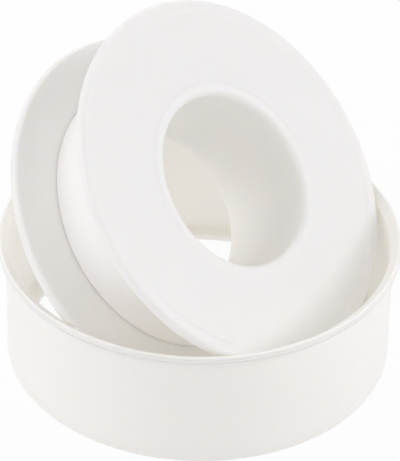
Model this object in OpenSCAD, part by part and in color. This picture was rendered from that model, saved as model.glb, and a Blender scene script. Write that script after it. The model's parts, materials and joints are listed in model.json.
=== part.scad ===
// Thread seal tape roll: a flanged spool of wound tape, pulled out of its cover ring and leaning in it.
// Millimetres, +Z up. The origin is on the floor at the ring's axis, and the spool leans over towards +X.

/* [Spool] */
// Outside diameter of both flanges
flange_d = 51.4; // [46:0.2:60]
// Thickness of each flange
flange_t = 1.6; // [1.3:0.1:2.2]
// Rounding of each flange's rim on its outside face
flange_edge_r = 0.7; // [0.3:0.1:0.8]
// Rounding of each flange's rim on the side of the tape
flange_inner_r = 0.5; // [0.1:0.05:0.5]
// Depth of the shallow recess in each flange's outside face
face_recess = 0.1; // [0.05:0.05:0.4]
// Width of the bead left standing round the flange's rim
rim_bead_w = 1.6; // [1:0.1:2.4]
// Width of the bead left standing round the bore
bore_bead_w = 1.5; // [1.3:0.1:2.4]
// Width of the slope from each bead down into the recess
bead_slope_w = 0.5; // [0.1:0.1:1]
// Diameter of the bore through the hub
bore_d = 24; // [20:0.5:27]
// Rounding of the bore's two mouths
bore_mouth_r = 1; // [0.3:0.1:1.2]
// Wall thickness of the hub
hub_wall = 1.2; // [1:0.1:2.4]
// Fillet where the hub meets each flange
hub_fillet_r = 0.2; // [0.1:0.05:0.25]

/* [Tape] */
// Width of the tape
tape_w = 12.7; // [10:0.1:19]
// Diameter over the wound tape
roll_d = 38.1; // [34:0.1:44]
// Thickness of the outer turn of tape
tape_t = 0.3; // [0.2:0.05:0.5]
// Gap between the outer turn and the turns under it
turn_gap = 0.1; // [0.05:0.05:0.3]
// Gap under the free end, where it laps over the start of its own turn
lap_gap = 0.45; // [0.42:0.01:0.8]
// Gap between each edge of the tape and the flange beside it
tape_play = 0.2; // [0.15:0.05:1]
// Running gap between the wound tape and the hub
hub_gap = 0.05; // [0.02:0.01:0.1]

/* [Cover ring] */
// Height of the ring
ring_h = 18.4; // [16:0.1:24]
// Gap between the flanges and the ring's wall
ring_gap = 0.35; // [0.3:0.05:1]
// Thickness of the ring's wall
ring_wall = 0.5; // [0.4:0.05:1.2]
// How far the collar at the mouth stands out from the wall
collar_out = 0.95; // [0.5:0.05:1.5]
// Height of the collar's outer edge
collar_h = 0.75; // [0.6:0.05:2]
// Width of the flat face on top of the collar
collar_face = 0.7; // [0.5:0.05:0.9]
// Rounding of the collar's top edge
collar_edge_r = 0.2; // [0.1:0.05:0.3]
// Depth of the lead-in cone inside the mouth
lead_in_h = 0.9; // [0.5:0.05:1]
// How far the foot lip reaches in from the wall
lip_in = 2.1; // [1:0.1:4]
// Thickness of the foot lip
lip_t = 0.7; // [0.5:0.05:1.2]
// Fillet between the foot lip and the wall inside
lip_fillet_r = 0.95; // [0.2:0.05:0.95]
// Rounding of the foot's outer edge
foot_r = 0.5; // [0.2:0.05:0.6]

/* [Resting pose] */
// Tilt of the spool's axis from upright, in degrees
lean_deg = 47.25; // [44:0.25:52]
// Gap left where the spool rests on the floor and in the ring's mouth
seat_gap = 0.05; // [0.03:0.01:0.2]
// Where the outer turn of tape starts, in degrees round the spool from its lowest side
turn_start_deg = 40; // [0:5:355]
// How far the free end laps over the start of its turn, in degrees
lap_deg = 24; // [10:1:60]
// Over how many degrees the free end lifts off the roll
lift_deg = 45; // [20:1:90]

/* [Hidden] */

// Segments of a full circle, of a rounding, of the outer turn and of its lap, and points tried round a rim
circle_steps = 180;
round_steps = 8;
turn_steps = 90;
lap_steps = 6;
rim_steps = 180;

// Halvings of the search for the place where the spool comes to rest
seat_steps = 16;

// Angle, before the free end passes over the start of its turn, at which it has lifted fully
lap_clear_deg = 4;

plastic = [0.94, 0.94, 0.92];
tape_white = [0.97, 0.97, 0.97];

// Spool sizes, measured from its axis and from its middle plane
flange_r = flange_d / 2;
bore_r = bore_d / 2;
hub_r = bore_r + hub_wall;
groove_half_w = tape_w / 2 + tape_play;
spool_half_w = groove_half_w + flange_t;

// Tape radii, from the hub outwards
roll_in_r = hub_r + hub_gap;
turn_in_r = roll_d / 2 - tape_t;
roll_out_r = turn_in_r - turn_gap;
lap_lift = tape_t + lap_gap;

// Ring radii: the wall fits round the flanges, and the mouth opens out to the collar
wall_in_r = flange_r + ring_gap;
wall_out_r = wall_in_r + ring_wall;
collar_r = wall_out_r + collar_out;
mouth_r = collar_r - collar_face;
lip_r = wall_in_r - lip_in;

// Points of a round stretch about a centre, between two angles
function arc(centre, r, from, to) = [
    for (i = [0 : round_steps])
        let (a = from + (to - from) * i / round_steps)
        centre + r * [cos(a), sin(a)]
];

// Points in the other order
function backwards(points) = [for (i = [len(points) - 1 : -1 : 0]) points[i]];

// Points mirrored to the other side of the middle plane
function mirrored(points) = backwards([for (p = points) [p.x, -p.y]]);

// One flange's rim, from its outside face round to the side of the tape
flange_rim = concat(
    arc([flange_r - flange_edge_r, spool_half_w - flange_edge_r], flange_edge_r, 90, 0),
    arc([flange_r - flange_inner_r, groove_half_w + flange_inner_r], flange_inner_r, 0, -90)
);

// Recess in the flange's outside face, from the bead round the bore to the bead round the rim
recess_out_r = flange_r - rim_bead_w;
recess_in_r = bore_r + bore_bead_w;
recess_h = spool_half_w - face_recess;
flange_face = [
    [recess_in_r, spool_half_w],
    [recess_in_r + bead_slope_w, recess_h],
    [recess_out_r - bead_slope_w, recess_h],
    [recess_out_r, spool_half_w]
];

// Upper half of the spool's section: bore mouth, face, flange rim and the fillet at the hub
spool_half_section = concat(
    arc([bore_r + bore_mouth_r, spool_half_w - bore_mouth_r], bore_mouth_r, 180, 90),
    flange_face,
    flange_rim,
    arc([hub_r + hub_fillet_r, groove_half_w - hub_fillet_r], hub_fillet_r, 90, 180)
);

// Section of the ring's wall, from the foot lip up the outside and down through the mouth
ring_section = concat(
    [[lip_r, 0]],
    arc([wall_out_r - foot_r, foot_r], foot_r, -90, 0),
    [[wall_out_r, ring_h - collar_h], [collar_r, ring_h - collar_h]],
    arc([collar_r - collar_edge_r, ring_h - collar_edge_r], collar_edge_r, 0, 90),
    [[mouth_r, ring_h], [wall_in_r, ring_h - lead_in_h]],
    arc([wall_in_r - lip_fillet_r, lip_t + lip_fillet_r], lip_fillet_r, 0, -90),
    [[lip_r, lip_t]]
);

// Height of whatever carries the spool at a distance from the ring's axis: floor, lip, lead-in or collar
function support_h(r) =
    r < lip_r ? 0 :
    r < wall_in_r ? lip_t :
    r < mouth_r ? ring_h - lead_in_h * (mouth_r - r) / (mouth_r - wall_in_r) :
    r < collar_r ? ring_h : 0;

// Points round both rims of the leaning spool, with the spool's centre at the origin
leaning_rims = [
    for (p = concat(flange_rim, mirrored(flange_rim)), i = [0 : rim_steps - 1])
        let (a = 360 * i / rim_steps)
        [
            p.y * sin(lean_deg) + p.x * cos(a) * cos(lean_deg),
            p.x * sin(a),
            p.y * cos(lean_deg) - p.x * cos(a) * sin(lean_deg)
        ]
];

// Height of the spool's centre when its lowest point is on the floor
floor_seat_h = seat_gap - min([for (q = leaning_rims) q.z]);

// Height of the spool's centre when the ring carries it, a distance behind the ring's axis
function ring_seat_h(back) = max([
    for (q = leaning_rims)
        let (h = support_h(norm([q.x - back, q.y]) + seat_gap))
        if (h > 0)
            h + seat_gap - q.z
]);

// How far the spool slides back on the floor before its rear flange meets the ring's mouth
function slide_back(near, far, steps) =
    steps == 0 ? near :
    let (middle = (near + far) / 2)
    ring_seat_h(middle) > floor_seat_h ?
        slide_back(near, middle, steps - 1) :
        slide_back(middle, far, steps - 1);

lean_back = slide_back(0, flange_r, seat_steps);
seat_h = max(floor_seat_h, ring_seat_h(lean_back));

// How far the outer turn stands off the roll at an angle from its start
function lift(a) =
    let (
        full_deg = 360 - lap_clear_deg,
        share = min(1, max(0, (a - full_deg + lift_deg) / lift_deg))
    )
    lap_lift * share * share * (3 - 2 * share);

// Angles along the outer turn: once round, and on over its start to the free end
turn_angles = concat(
    [for (i = [0 : turn_steps - 1]) 360 * i / turn_steps],
    [for (i = [0 : lap_steps]) 360 + lap_deg * i / lap_steps]
);

// One side of the outer turn, from its start to its free end
function turn_side(r) = [
    for (a = turn_angles)
        (r + lift(a)) * [cos(a + turn_start_deg), sin(a + turn_start_deg)]
];
turn_inside = turn_side(turn_in_r);
turn_outside = turn_side(turn_in_r + tape_t);

// Least gap between the turn's first half and what comes round to lie over it
half_turn_steps = turn_steps / 2;
turn_least_gap = min([
    for (i = [0 : half_turn_steps], j = [i + half_turn_steps : len(turn_angles) - 1])
        norm(turn_outside[i] - turn_inside[j])
]);
echo(turn_least_gap = turn_least_gap);

// Puts a piece made about the Z axis in its place on the leaning spool
module leaning() {
    translate([-lean_back, 0, seat_h])
        rotate([0, lean_deg, 0])
            children();
}

// Cover ring: a thin wall, open at both ends, with a collar round its mouth and a lip at its foot
module cover_ring() {
    color(plastic)
        rotate_extrude($fn = circle_steps)
            polygon(ring_section);
}

// Spool: one moulding of hub and two flanges
module spool() {
    color(plastic)
        leaning()
            rotate_extrude($fn = circle_steps)
                polygon(concat(spool_half_section, mirrored(spool_half_section)));
}

// Wound tape: all the turns under the outer one, loose on the hub
module wound_tape() {
    color(tape_white)
        leaning()
            rotate_extrude($fn = circle_steps)
                translate([roll_in_r, -tape_w / 2])
                    square([roll_out_r - roll_in_r, tape_w]);
}

// Outer turn of tape: once round the roll, with its free end lapped over its start
module tape_outer_turn() {
    color(tape_white)
        leaning()
            linear_extrude(height = tape_w, center = true)
                polygon(concat(turn_outside, backwards(turn_inside)));
}

cover_ring();
spool();
wound_tape();
tape_outer_turn();
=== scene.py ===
import json
import math
import bmesh
import bpy
from mathutils import Matrix, Vector


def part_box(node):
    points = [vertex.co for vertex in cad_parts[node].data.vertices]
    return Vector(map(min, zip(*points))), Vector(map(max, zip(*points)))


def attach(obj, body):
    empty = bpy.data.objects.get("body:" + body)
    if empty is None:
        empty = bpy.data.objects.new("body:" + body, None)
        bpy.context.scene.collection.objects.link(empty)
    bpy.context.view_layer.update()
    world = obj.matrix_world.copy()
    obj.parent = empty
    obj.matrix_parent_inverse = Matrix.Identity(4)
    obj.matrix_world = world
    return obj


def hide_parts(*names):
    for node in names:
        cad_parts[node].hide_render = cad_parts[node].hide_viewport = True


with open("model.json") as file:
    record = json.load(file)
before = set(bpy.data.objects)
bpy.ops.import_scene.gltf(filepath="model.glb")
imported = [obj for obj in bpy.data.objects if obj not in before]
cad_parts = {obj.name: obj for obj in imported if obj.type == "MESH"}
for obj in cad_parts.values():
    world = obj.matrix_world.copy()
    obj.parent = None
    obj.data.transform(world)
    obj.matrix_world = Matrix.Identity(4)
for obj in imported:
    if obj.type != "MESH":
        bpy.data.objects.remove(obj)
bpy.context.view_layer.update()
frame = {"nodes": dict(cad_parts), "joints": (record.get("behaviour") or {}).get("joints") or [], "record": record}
print("frame loaded:", ", ".join(sorted(frame["nodes"])))

mm = 0.001  # sections are drawn in millimetres and shrunk to metres once they are spun
roundProfile = 0.5  # a bevel of this profile is a round one

# The spool's place comes from the joint that the tape turns on
turnJoint = next(joint for joint in frame["joints"] if joint["name"] == "tape_turn")
spoolCentre = Vector(turnJoint["pos_m"])
spoolAxis = Vector(turnJoint["axis"])
upAxis = Vector((0, 0, 1))
leanTurn = upAxis.rotation_difference(spoolAxis).to_matrix().to_4x4()
standing = Matrix.Scale(mm, 4)
leaning = Matrix.Translation(spoolCentre) @ leanTurn @ standing


# Node helpers
def addNode(tree, kind, **values):
    node = tree.nodes.new(kind)
    for name, value in values.items():
        setattr(node, name, value)
    return node


def setInputs(node, **values):
    for name, value in values.items():
        node.inputs[name.replace("_", " ")].default_value = value
    return node


def grey(value):
    return (value, value, value, 1)


def newMaterial(name):
    material = bpy.data.materials.new(name)
    material.use_nodes = True
    tree = material.node_tree
    return material, tree, tree.nodes["Principled BSDF"]


# Moulded skin: slow clouds in the colour and the gloss, with a fine grain from the mould's face
mouldedSet = {
    "cloudDetail": 3.0,
    "cloudRoughness": 0.55,
    "grainDetail": 2.0,
    "grainRoughness": 0.6,
    "noiseMiddle": 0.5,
}


def makeMouldedSkin(size):
    group = bpy.data.node_groups.new("mouldedSkin", "ShaderNodeTree")
    face = group.interface
    for name, kind in (
        ("Tint", "NodeSocketColor"),
        ("Shade", "NodeSocketColor"),
        ("Cloud Scale", "NodeSocketFloat"),
        ("Grain Scale", "NodeSocketFloat"),
        ("Roughness", "NodeSocketFloat"),
        ("Roughness Spread", "NodeSocketFloat"),
    ):
        face.new_socket(name, in_out="INPUT", socket_type=kind)
    for name, kind in (
        ("Color", "NodeSocketColor"),
        ("Roughness", "NodeSocketFloat"),
        ("Height", "NodeSocketFloat"),
    ):
        face.new_socket(name, in_out="OUTPUT", socket_type=kind)
    put = addNode(group, "NodeGroupInput")
    out = addNode(group, "NodeGroupOutput")
    coords = addNode(group, "ShaderNodeTexCoord")
    clouds = addNode(group, "ShaderNodeTexNoise")
    setInputs(clouds, Detail=size["cloudDetail"], Roughness=size["cloudRoughness"])
    grain = addNode(group, "ShaderNodeTexNoise")
    setInputs(grain, Detail=size["grainDetail"], Roughness=size["grainRoughness"])
    tone = addNode(group, "ShaderNodeMix", data_type="RGBA")
    spread = addNode(group, "ShaderNodeMath", operation="SUBTRACT")
    spread.inputs[1].default_value = size["noiseMiddle"]
    gloss = addNode(group, "ShaderNodeMath", operation="MULTIPLY_ADD")
    link = group.links.new
    link(coords.outputs["Object"], clouds.inputs["Vector"])
    link(coords.outputs["Object"], grain.inputs["Vector"])
    link(put.outputs["Cloud Scale"], clouds.inputs["Scale"])
    link(put.outputs["Grain Scale"], grain.inputs["Scale"])
    link(clouds.outputs["Fac"], tone.inputs["Factor"])
    link(put.outputs["Tint"], tone.inputs["A"])
    link(put.outputs["Shade"], tone.inputs["B"])
    link(clouds.outputs["Fac"], spread.inputs[0])
    link(spread.outputs[0], gloss.inputs[0])
    link(put.outputs["Roughness Spread"], gloss.inputs[1])
    link(put.outputs["Roughness"], gloss.inputs[2])
    link(tone.outputs["Result"], out.inputs["Color"])
    link(gloss.outputs[0], out.inputs["Roughness"])
    link(grain.outputs["Fac"], out.inputs["Height"])
    return group


mouldedSkin = makeMouldedSkin(mouldedSet)


def makePlastic(look):
    material, tree, shader = newMaterial(look["name"])
    skin = addNode(tree, "ShaderNodeGroup", node_tree=mouldedSkin)
    setInputs(
        skin,
        Tint=(*look["tint"], 1),
        Shade=(*look["shade"], 1),
        Cloud_Scale=look["cloudScale"],
        Grain_Scale=look["grainScale"],
        Roughness=look["roughness"],
        Roughness_Spread=look["roughnessSpread"],
    )
    bump = addNode(tree, "ShaderNodeBump")
    setInputs(bump, Strength=look["grainStrength"], Distance=look["grainDepth"])
    setInputs(
        shader,
        IOR=look["ior"],
        Subsurface_Weight=look["scatter"],
        Subsurface_Radius=look["scatterTint"],
        Subsurface_Scale=look["scatterDepth"],
    )
    link = tree.links.new
    link(skin.outputs["Color"], shader.inputs["Base Color"])
    link(skin.outputs["Roughness"], shader.inputs["Roughness"])
    link(skin.outputs["Height"], bump.inputs["Height"])
    link(bump.outputs["Normal"], shader.inputs["Normal"])
    return material


# Tape film: streaks drawn out along the tape and faint creases across it, laid out on its own run
filmSet = {
    "streakDetail": 3.0,
    "streakRoughness": 0.6,
    "creaseDetail": 2.0,
    "creaseRoughness": 0.5,
    "noiseMiddle": 0.5,
}


def makeFilmSkin(size):
    group = bpy.data.node_groups.new("filmSkin", "ShaderNodeTree")
    face = group.interface
    for name, kind in (
        ("Tint", "NodeSocketColor"),
        ("Shade", "NodeSocketColor"),
        ("Streaks", "NodeSocketVector"),
        ("Creases", "NodeSocketVector"),
        ("Crease Share", "NodeSocketFloat"),
        ("Roughness", "NodeSocketFloat"),
        ("Roughness Spread", "NodeSocketFloat"),
    ):
        face.new_socket(name, in_out="INPUT", socket_type=kind)
    for name, kind in (
        ("Color", "NodeSocketColor"),
        ("Roughness", "NodeSocketFloat"),
        ("Height", "NodeSocketFloat"),
    ):
        face.new_socket(name, in_out="OUTPUT", socket_type=kind)
    put = addNode(group, "NodeGroupInput")
    out = addNode(group, "NodeGroupOutput")
    run = addNode(group, "ShaderNodeUVMap", uv_map="tapeRun")
    drawn = addNode(group, "ShaderNodeVectorMath", operation="MULTIPLY")
    folded = addNode(group, "ShaderNodeVectorMath", operation="MULTIPLY")
    streaks = addNode(group, "ShaderNodeTexNoise")
    setInputs(streaks, Scale=1.0, Detail=size["streakDetail"], Roughness=size["streakRoughness"])
    creases = addNode(group, "ShaderNodeTexNoise")
    setInputs(creases, Scale=1.0, Detail=size["creaseDetail"], Roughness=size["creaseRoughness"])
    tone = addNode(group, "ShaderNodeMix", data_type="RGBA")
    spread = addNode(group, "ShaderNodeMath", operation="SUBTRACT")
    spread.inputs[1].default_value = size["noiseMiddle"]
    gloss = addNode(group, "ShaderNodeMath", operation="MULTIPLY_ADD")
    relief = addNode(group, "ShaderNodeMix", data_type="FLOAT")
    link = group.links.new
    link(run.outputs["UV"], drawn.inputs[0])
    link(put.outputs["Streaks"], drawn.inputs[1])
    link(run.outputs["UV"], folded.inputs[0])
    link(put.outputs["Creases"], folded.inputs[1])
    link(drawn.outputs[0], streaks.inputs["Vector"])
    link(folded.outputs[0], creases.inputs["Vector"])
    link(streaks.outputs["Fac"], tone.inputs["Factor"])
    link(put.outputs["Tint"], tone.inputs["A"])
    link(put.outputs["Shade"], tone.inputs["B"])
    link(streaks.outputs["Fac"], spread.inputs[0])
    link(spread.outputs[0], gloss.inputs[0])
    link(put.outputs["Roughness Spread"], gloss.inputs[1])
    link(put.outputs["Roughness"], gloss.inputs[2])
    link(put.outputs["Crease Share"], relief.inputs["Factor"])
    link(streaks.outputs["Fac"], relief.inputs["A"])
    link(creases.outputs["Fac"], relief.inputs["B"])
    link(tone.outputs["Result"], out.inputs["Color"])
    link(gloss.outputs[0], out.inputs["Roughness"])
    link(relief.outputs["Result"], out.inputs["Height"])
    return group


filmSkin = makeFilmSkin(filmSet)


def makeTapeFilm(look):
    material, tree, shader = newMaterial(look["name"])
    skin = addNode(tree, "ShaderNodeGroup", node_tree=filmSkin)
    setInputs(
        skin,
        Tint=(*look["tint"], 1),
        Shade=(*look["shade"], 1),
        Streaks=(look["streaksAlong"], look["streaksAcross"], 1),
        Creases=(look["creasesAlong"], look["creasesAcross"], 1),
        Crease_Share=look["creaseShare"],
        Roughness=look["roughness"],
        Roughness_Spread=look["roughnessSpread"],
    )
    bump = addNode(tree, "ShaderNodeBump")
    setInputs(bump, Strength=look["bumpStrength"], Distance=look["bumpDepth"])
    setInputs(shader, IOR=look["ior"], Sheen_Weight=look["sheen"])
    link = tree.links.new
    link(skin.outputs["Color"], shader.inputs["Base Color"])
    link(skin.outputs["Roughness"], shader.inputs["Roughness"])
    link(skin.outputs["Height"], bump.inputs["Height"])
    link(bump.outputs["Normal"], shader.inputs["Normal"])
    return material


# Spins a closed section once about the upright axis
# Each corner of it is a distance from the axis, a height and a rounding
def spinSection(corners, steps, roundSteps, place):
    bm = bmesh.new()
    drawn = [(bm.verts.new((out, 0, height)), soft) for out, height, soft in corners]
    bm.faces.new([vert for vert, soft in drawn])
    for vert, soft in drawn:
        if soft:
            bmesh.ops.bevel(
                bm,
                geom=[vert],
                offset=soft,
                offset_type="OFFSET",
                affect="VERTICES",
                segments=roundSteps,
                profile=roundProfile,
                material=-1,
            )
    bmesh.ops.delete(bm, geom=bm.faces[:], context="FACES_ONLY")
    bmesh.ops.spin(
        bm,
        geom=bm.verts[:] + bm.edges[:],
        cent=(0, 0, 0),
        axis=upAxis,
        angle=math.tau,
        steps=steps,
        use_merge=True,
    )
    bmesh.ops.transform(bm, matrix=place, verts=bm.verts)
    bmesh.ops.recalc_face_normals(bm, faces=bm.faces)
    return bm


# Turns a finished bmesh into a piece that rides on its body in place of the solids
def finishPiece(bm, name, body, slot, material, *solids):
    mesh = bpy.data.meshes.new(name)
    bm.to_mesh(mesh)
    bm.free()
    mesh.shade_smooth()
    mesh.materials.append(material)
    piece = bpy.data.objects.new(name, mesh)
    bpy.context.scene.collection.objects.link(piece)
    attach(piece, body)
    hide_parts(*solids)
    print(f"{name}: {len(mesh.polygons)} faces on {body}")
    return piece


def evenNormals(piece):
    weigh = piece.modifiers.new("evenNormals", "WEIGHTED_NORMAL")
    weigh.mode = "FACE_AREA"
    weigh.keep_sharp = False


# Cover ring: thin wall, collar with two fine seams round its mouth, lip at its foot
ringSet = {
    "wall": 0.5,
    "collarOut": 0.95,
    "collarHigh": 1.15,
    "collarFace": 0.3,
    "collarRound": 0.15,
    "seams": (
        {"drop": 1.03, "half": 0.08, "deep": 0.2},
        {"drop": 0.5, "half": 0.08, "deep": 0.09},
    ),
    "leadIn": 0.9,
    "lipIn": 2.1,
    "lipThick": 0.7,
    "lipFillet": 0.95,
    "footRound": 0.5,
    "softEdge": 0.06,
    "steps": 288,
    "roundSteps": 5,
}


def makeRing(size, material):
    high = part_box("cover_ring")[1]
    collarR = high.x / mm
    top = high.z / mm
    wallOut = collarR - size["collarOut"]
    wallIn = wallOut - size["wall"]
    lipR = wallIn - size["lipIn"]
    mouthR = collarR - size["collarFace"]
    seams = []
    for seam in size["seams"]:
        middle = top - seam["drop"]
        seams.append((collarR, middle - seam["half"], 0))
        seams.append((collarR - seam["deep"], middle, 0))
        seams.append((collarR, middle + seam["half"], 0))
    edge = size["softEdge"]
    section = [
        (lipR, 0, edge),
        (wallOut, 0, size["footRound"]),
        (wallOut, top - size["collarHigh"], edge),
        (collarR, top - size["collarHigh"], edge),
        *seams,
        (collarR, top, size["collarRound"]),
        (mouthR, top, edge),
        (wallIn, top - size["leadIn"], edge),
        (wallIn, size["lipThick"], size["lipFillet"]),
        (lipR, size["lipThick"], edge),
    ]
    bm = spinSection(section, size["steps"], size["roundSteps"], standing)
    ring = finishPiece(bm, "coverRing", "cover_ring", "ring_plastic", material, "cover_ring")
    evenNormals(ring)


# Spool: hub and two flanges, one moulding, with a raised bead round the rim and the bore of each face
spoolSet = {
    "flangeR": 25.7,
    "flangeThick": 1.6,
    "edgeRound": 0.7,
    "innerRound": 0.5,
    "mouthRound": 1.0,
    "hubWall": 1.2,
    "hubFillet": 0.2,
    "rimBead": 1.6,
    "boreBead": 1.5,
    "beadSlope": 0.5,
    "faceRecess": 0.1,
    "softEdge": 0.12,
    "grooveHalf": 6.55,
    "steps": 288,
    "roundSteps": 6,
}


def makeSpool(size, material):
    bore = next(mount for mount in frame["record"]["mounts"] if mount["name"] == "spool_bore")
    boreR = bore["dims"]["r_mm"]
    hubR = boreR + size["hubWall"]
    groove = size["grooveHalf"]
    face = groove + size["flangeThick"]
    sunk = face - size["faceRecess"]
    rimIn = size["flangeR"] - size["rimBead"]
    boreOut = boreR + size["boreBead"]
    edge = size["softEdge"]
    upper = [
        (boreR, face, size["mouthRound"]),
        (boreOut, face, edge),
        (boreOut + size["beadSlope"], sunk, edge),
        (rimIn - size["beadSlope"], sunk, edge),
        (rimIn, face, edge),
        (size["flangeR"], face, size["edgeRound"]),
        (size["flangeR"], groove, size["innerRound"]),
        (hubR, groove, size["hubFillet"]),
    ]
    lower = [(out, -height, soft) for out, height, soft in reversed(upper)]
    bm = spinSection(upper + lower, size["steps"], size["roundSteps"], leaning)
    spool = finishPiece(bm, "tapeSpool", "spool", "spool_plastic", material, "spool")
    evenNormals(spool)


# Seal tape: one long ribbon wound from the hub outwards, its free end lifting over the last turn
# Each sway is how fast the ribbon's edge strays over its turns, and from where it starts
tapeSet = {
    "innerR": 13.5,
    "outerR": 19.05,
    "width": 12.7,
    "thick": 0.09,
    "turns": 60,
    "stepsPerTurn": 96,
    "stepsAcross": 3,
    "lapDeg": 24.0,
    "liftDeg": 45.0,
    "lapClearDeg": 4.0,
    "lift": 0.75,
    "startDeg": 40.0,
    "settle": 0.14,
    "wander": 0.04,
    "sways": ((5.3, 0.0), (2.1, 1.0), (13.7, 2.0)),
    "sharpDeg": 40.0,
}


def makeTape(size, material):
    bm = bmesh.new()
    uv = bm.loops.layers.uv.new("tapeRun")
    lap = size["lapDeg"] / 360
    turns = size["turns"] + lap
    steps = round(turns * size["stepsPerTurn"])
    half = 0.5  # the grid is one by one about its middle
    bmesh.ops.create_grid(
        bm,
        x_segments=steps,
        y_segments=size["stepsAcross"],
        size=half,
        calc_uvs=True,
    )
    pitch = (size["outerR"] - size["innerR"]) / size["turns"]
    liftStart = size["turns"] - (size["lapClearDeg"] + size["liftDeg"]) / 360
    liftTurns = size["liftDeg"] / 360
    for vert in bm.verts:
        turn = (vert.co.x + half) * turns
        raised = min(1, max(0, (turn - liftStart) / liftTurns))
        out = size["innerR"] + pitch * min(turn, size["turns"] - 1 + lap)
        out += size["lift"] * raised * raised * (3 - 2 * raised)
        angle = math.radians(size["startDeg"]) + turn * math.tau
        sway = sum(math.sin(turn * pace + start) for pace, start in size["sways"])
        stray = size["wander"] * sway / len(size["sways"])
        along = vert.co.y * size["width"] - size["settle"] + stray
        vert.co = (out * math.cos(angle), out * math.sin(angle), along)
    bmesh.ops.recalc_face_normals(bm, faces=bm.faces)
    bmesh.ops.solidify(bm, geom=bm.faces[:], thickness=size["thick"])
    bmesh.ops.transform(bm, matrix=leaning, verts=bm.verts)
    solids = ("wound_tape", "tape_outer_turn")
    tape = finishPiece(bm, "woundTape", "tape", "seal_tape", material, *solids)
    tape.data.set_sharp_from_angle(angle=math.radians(size["sharpDeg"]))


# Looks of the three pieces
ringLook = {
    "name": "ringPlastic",
    "tint": (0.940, 0.928, 0.887),
    "shade": (0.932, 0.919, 0.876),
    "cloudScale": 70.0,
    "grainScale": 4200.0,
    "grainStrength": 0.12,
    "grainDepth": 0.00003,
    "roughness": 0.42,
    "roughnessSpread": 0.10,
    "ior": 1.49,
    "scatter": 1.0,
    "scatterTint": (1.0, 0.95, 0.85),
    "scatterDepth": 0.0005,
}
spoolLook = {
    **ringLook,
    "name": "spoolPlastic",
    "tint": (0.960, 0.942, 0.896),
    "shade": (0.952, 0.933, 0.885),
    "scatterDepth": 0.0006,
}
tapeLook = {
    "name": "sealTape",
    "tint": (0.995, 0.990, 0.982),
    "shade": (0.983, 0.978, 0.970),
    "streaksAlong": 110.0,
    "streaksAcross": 46.0,
    "creasesAlong": 2600.0,
    "creasesAcross": 2.2,
    "creaseShare": 0.3,
    "bumpStrength": 0.16,
    "bumpDepth": 0.00003,
    "roughness": 0.46,
    "roughnessSpread": 0.14,
    "ior": 1.36,
    "sheen": 0.08,
}

makeRing(ringSet, makePlastic(ringLook))
makeSpool(spoolSet, makePlastic(spoolLook))
makeTape(tapeSet, makeTapeFilm(tapeLook))


# Floor and studio: seen straight they are white, and to the object they are plain soft light
# The floor shows the object's shadow, which fades out between two distances from the object
floorSet = {
    "radius": 2.0,
    "sides": 64,
    "drop": 0.00003,
    "seenTint": 0.985,
    "shadowShare": 0.1,
    "shadowNear": 0.12,
    "shadowFar": 0.3,
    "albedo": 0.25,
    "roughness": 0.9,
    "tableLight": 0.611,
}


def whiteRays(tree):
    path = addNode(tree, "ShaderNodeLightPath")
    seen = addNode(tree, "ShaderNodeMath", operation="MAXIMUM")
    white = addNode(tree, "ShaderNodeMath", operation="MAXIMUM")
    link = tree.links.new
    link(path.outputs["Is Camera Ray"], seen.inputs[0])
    link(path.outputs["Is Glossy Ray"], seen.inputs[1])
    link(seen.outputs[0], white.inputs[0])
    link(path.outputs["Is Transmission Ray"], white.inputs[1])
    return white.outputs[0]


def makeFloor(size, tint):
    bm = bmesh.new()
    bmesh.ops.create_circle(bm, cap_ends=True, segments=size["sides"], radius=size["radius"])
    bmesh.ops.translate(bm, vec=(0, 0, -size["drop"]), verts=bm.verts)
    mesh = bpy.data.meshes.new("paleFloor")
    bm.to_mesh(mesh)
    bm.free()
    material, tree, shader = newMaterial("paleFloor")
    setInputs(
        shader,
        Base_Color=grey(size["albedo"]),
        Roughness=size["roughness"],
        Specular_IOR_Level=0.0,
        Emission_Color=(*tint, 1),
        Emission_Strength=size["tableLight"],
    )
    glow = setInputs(addNode(tree, "ShaderNodeEmission"), Color=grey(1), Strength=1.0)
    matte = setInputs(addNode(tree, "ShaderNodeBsdfDiffuse"), Color=grey(size["seenTint"]))
    place = addNode(tree, "ShaderNodeTexCoord")
    reach = addNode(tree, "ShaderNodeVectorMath", operation="LENGTH")
    share = addNode(tree, "ShaderNodeMapRange")
    setInputs(
        share,
        From_Min=size["shadowNear"],
        From_Max=size["shadowFar"],
        To_Min=size["shadowShare"],
        To_Max=0.0,
    )
    seen = addNode(tree, "ShaderNodeMixShader")
    mix = addNode(tree, "ShaderNodeMixShader")
    link = tree.links.new
    link(place.outputs["Object"], reach.inputs[0])
    link(reach.outputs["Value"], share.inputs["Value"])
    link(share.outputs["Result"], seen.inputs["Fac"])
    link(glow.outputs[0], seen.inputs[1])
    link(matte.outputs[0], seen.inputs[2])
    link(whiteRays(tree), mix.inputs["Fac"])
    link(shader.outputs[0], mix.inputs[1])
    link(seen.outputs[0], mix.inputs[2])
    link(mix.outputs[0], tree.nodes["Material Output"].inputs["Surface"])
    mesh.materials.append(material)
    floor = bpy.data.objects.new("paleFloor", mesh)
    bpy.context.scene.collection.objects.link(floor)


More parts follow.
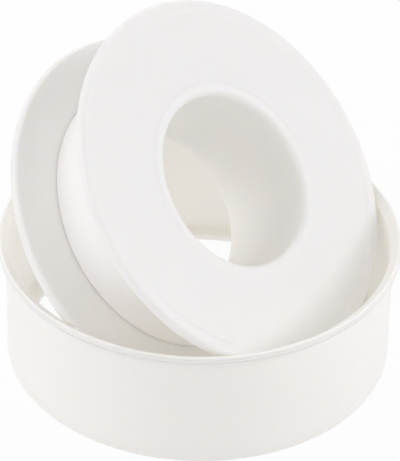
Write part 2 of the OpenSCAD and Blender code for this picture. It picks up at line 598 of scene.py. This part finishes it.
studioSet = {
    "lightTint": (1.0, 0.982, 1.005),
    "worldStrength": 0.377,
    "bounces": 10,
    "lampDistance": 0.9,
    "lampSide": 0.6,
    "lamps": [
        {"name": "leftLamp", "azimuthDeg": -147.8, "elevationDeg": 30.0, "level": 0.284},
        {"name": "rightLamp", "azimuthDeg": 32.2, "elevationDeg": 30.0, "level": 0.204},
        {"name": "backLamp", "azimuthDeg": 122.2, "elevationDeg": 45.0, "level": 0.231},
        {"name": "frontLamp", "azimuthDeg": -57.8, "elevationDeg": 45.0, "level": 0.132},
        {"name": "leftFrontLamp", "azimuthDeg": -105.0, "elevationDeg": 30.0, "level": 0.116},
        {"name": "rightFrontLamp", "azimuthDeg": -15.0, "elevationDeg": 30.0, "level": 0.055},
        {"name": "rightLowLamp", "azimuthDeg": 32.2, "elevationDeg": 10.0, "level": 0.172},
    ],
}


def makeWorld(size):
    world = bpy.data.worlds.new("studio")
    world.use_nodes = True
    bpy.context.scene.world = world
    tree = world.node_tree
    fill = tree.nodes["Background"]
    setInputs(fill, Color=(*size["lightTint"], 1), Strength=size["worldStrength"])
    white = setInputs(addNode(tree, "ShaderNodeBackground"), Color=grey(1), Strength=1.0)
    mix = addNode(tree, "ShaderNodeMixShader")
    link = tree.links.new
    link(whiteRays(tree), mix.inputs["Fac"])
    link(fill.outputs[0], mix.inputs[1])
    link(white.outputs[0], mix.inputs[2])
    link(mix.outputs[0], tree.nodes["World Output"].inputs["Surface"])


# Direction from the object out to a lamp or to the camera
def outward(size):
    azimuth = math.radians(size["azimuthDeg"])
    elevation = math.radians(size["elevationDeg"])
    level = math.cos(elevation)
    return Vector((level * math.cos(azimuth), level * math.sin(azimuth), math.sin(elevation)))


# A lamp's level of 1 brings a white card that faces it to white
def makeLamp(lampSet, size):
    distance = size["lampDistance"]
    out = outward(lampSet)
    data = bpy.data.lights.new(lampSet["name"], "AREA")
    data.size = size["lampSide"]
    data.color = size["lightTint"]
    data.energy = lampSet["level"] * (math.pi * distance) ** 2
    lamp = bpy.data.objects.new(lampSet["name"], data)
    facing = out.to_track_quat("Z", "Y").to_matrix().to_4x4()
    lamp.matrix_world = Matrix.Translation(out * distance) @ facing
    lamp.visible_camera = False
    bpy.context.scene.collection.objects.link(lamp)


makeFloor(floorSet, studioSet["lightTint"])
makeWorld(studioSet)
for lampSet in studioSet["lamps"]:
    makeLamp(lampSet, studioSet)
print("studio lit:", len(studioSet["lamps"]), "lamps")

# Camera: a long lens from the photograph's side, a little rolled
cameraSet = {
    "distance": 0.4177,
    "azimuthDeg": -57.8,
    "elevationDeg": 37.881,
    "aimHeight": 0.0189,
    "rollDeg": 1.221,
    "lens": 232.6,
    "sensorWidth": 36.0,
}


def makeCamera(size):
    eye = size["distance"] * outward(size)
    aim = Vector((0, 0, size["aimHeight"]))
    turned = (aim - eye).to_track_quat("-Z", "Y").to_matrix().to_4x4()
    rolled = turned @ Matrix.Rotation(math.radians(size["rollDeg"]), 4, "Z")
    data = bpy.data.cameras.new("studioCamera")
    data.sensor_width = size["sensorWidth"]
    data.lens = size["lens"]
    camera = bpy.data.objects.new("studioCamera", data)
    camera.matrix_world = Matrix.Translation(eye) @ rolled
    bpy.context.scene.collection.objects.link(camera)
    bpy.context.scene.camera = camera


makeCamera(cameraSet)
bpy.context.scene.view_settings.view_transform = "Standard"
bpy.context.scene.cycles.diffuse_bounces = studioSet["bounces"]  # white walls hand light on
print("camera set")
